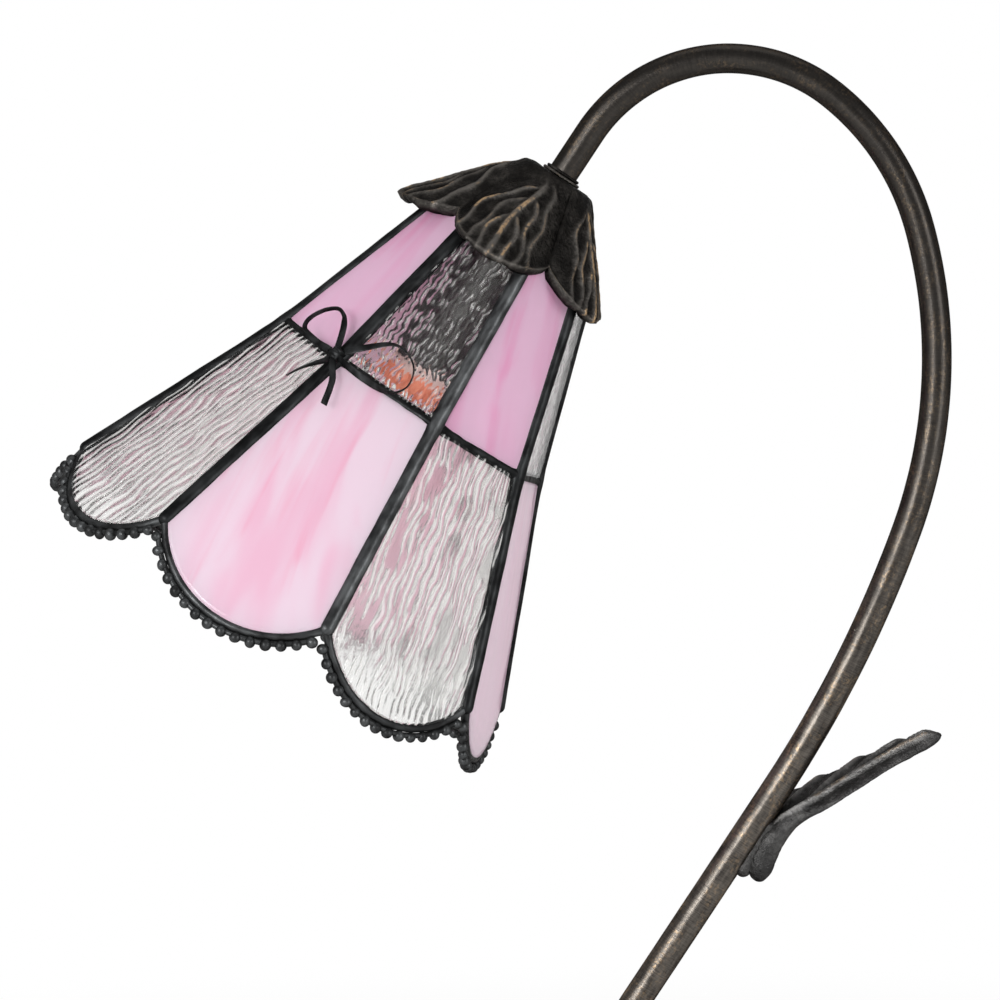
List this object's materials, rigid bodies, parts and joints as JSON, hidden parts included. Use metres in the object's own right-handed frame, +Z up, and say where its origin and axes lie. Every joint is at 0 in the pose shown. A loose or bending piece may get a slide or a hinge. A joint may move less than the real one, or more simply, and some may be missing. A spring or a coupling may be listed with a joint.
{
  "type": "table lamp",
  "caption": "Table lamp with a hook-shaped bronze stem, a leaf on it, and a flower shade of pink and clear glass panes with beaded petal edges under a cast leaf cap.",
  "frame": {"origin": "centre of the base's felt underside, on the table", "axes": "+Z up, the stem's plane is XZ, the shade hangs towards -X, the switch is at -Y"},
  "size_m": [0.3011, 0.1724, 0.3989],
  "materials": {
    "antique_bronze": "dark antique bronze patina, rubbed to gold-brown on raised places",
    "black_solder": "black patina over solder, soft sheen",
    "pink_glass": "streaky pink opalescent sheet glass",
    "clear_glass": "clear rippled sheet glass",
    "brass": "spun and turned brass",
    "plated_steel": "zinc plated",
    "black_phenolic": "moulded",
    "red_fibre": "vulcanised fibre tube",
    "cast_iron": "as cast",
    "felt": "pressed felt",
    "lead_sheath": "smooth sheath"
  },
  "bodies": {
    "lamp": {"base_plate": "plated_steel", "base_shell": "antique_bronze", "base_weight": "cast_iron", "bow_knot": "black_solder", "bow_loops": "black_solder", "bow_tails": "black_solder", "calyx_cap": "antique_bronze", "cord_bushing": "black_phenolic", "crown_came": "black_solder", "felt_pad": "felt", "foot_collar": "antique_bronze", "foot_nut": "brass", "foot_washer": "plated_steel", "head_nut": "brass", "head_washer": "plated_steel", "holder_body": "black_phenolic", "holder_cap": "black_phenolic", "holder_core": "black_phenolic", "holder_liner": "red_fibre", "lower_pane_1": "pink_glass", "lower_pane_2": "clear_glass", "lower_pane_3": "pink_glass", "lower_pane_4": "clear_glass", "lower_pane_5": "pink_glass", "lower_pane_6": "clear_glass", "lower_pane_7": "pink_glass", "lower_pane_8": "clear_glass", "neck_collar": "antique_bronze", "plate_screws": "plated_steel", "rib_came_1": "black_solder", "rib_came_2": "black_solder", "rib_came_3": "black_solder", "rib_came_4": "black_solder", "rib_came_5": "black_solder", "rib_came_6": "black_solder", "rib_came_7": "black_solder", "rib_came_8": "black_solder", "rim_edging": "black_solder", "stem_leaf": "antique_bronze", "stem_tube": "antique_bronze", "supply_lead": "lead_sheath", "switch_body": "black_phenolic", "switch_nut": "brass", "terminal_screws": "plated_steel", "thread_shell": "brass", "upper_pane_1": "clear_glass", "upper_pane_2": "pink_glass", "upper_pane_3": "clear_glass", "upper_pane_4": "pink_glass", "upper_pane_5": "clear_glass", "upper_pane_6": "pink_glass", "upper_pane_7": "clear_glass", "upper_pane_8": "pink_glass", "vase_cap": "brass", "waist_came": "black_solder"},
    "switch_turner": {"switch_spindle": "plated_steel", "switch_knob": "antique_bronze"},
    "contact": {"centre_contact": "brass"}
  },
  "joints": [
    {"name": "switch_turn", "type": "hinge", "parent": "lamp", "child": "switch_turner", "pos_m": [0, -0.042, 0.0264], "axis": [0, 0, 1], "continuous": true},
    {"name": "contact_press", "type": "slide", "parent": "lamp", "child": "contact", "axis": [0.5519, 0, 0.8339], "range_m": [0, 0.0015], "stiffness_N_per_m": 1200}
  ]
}
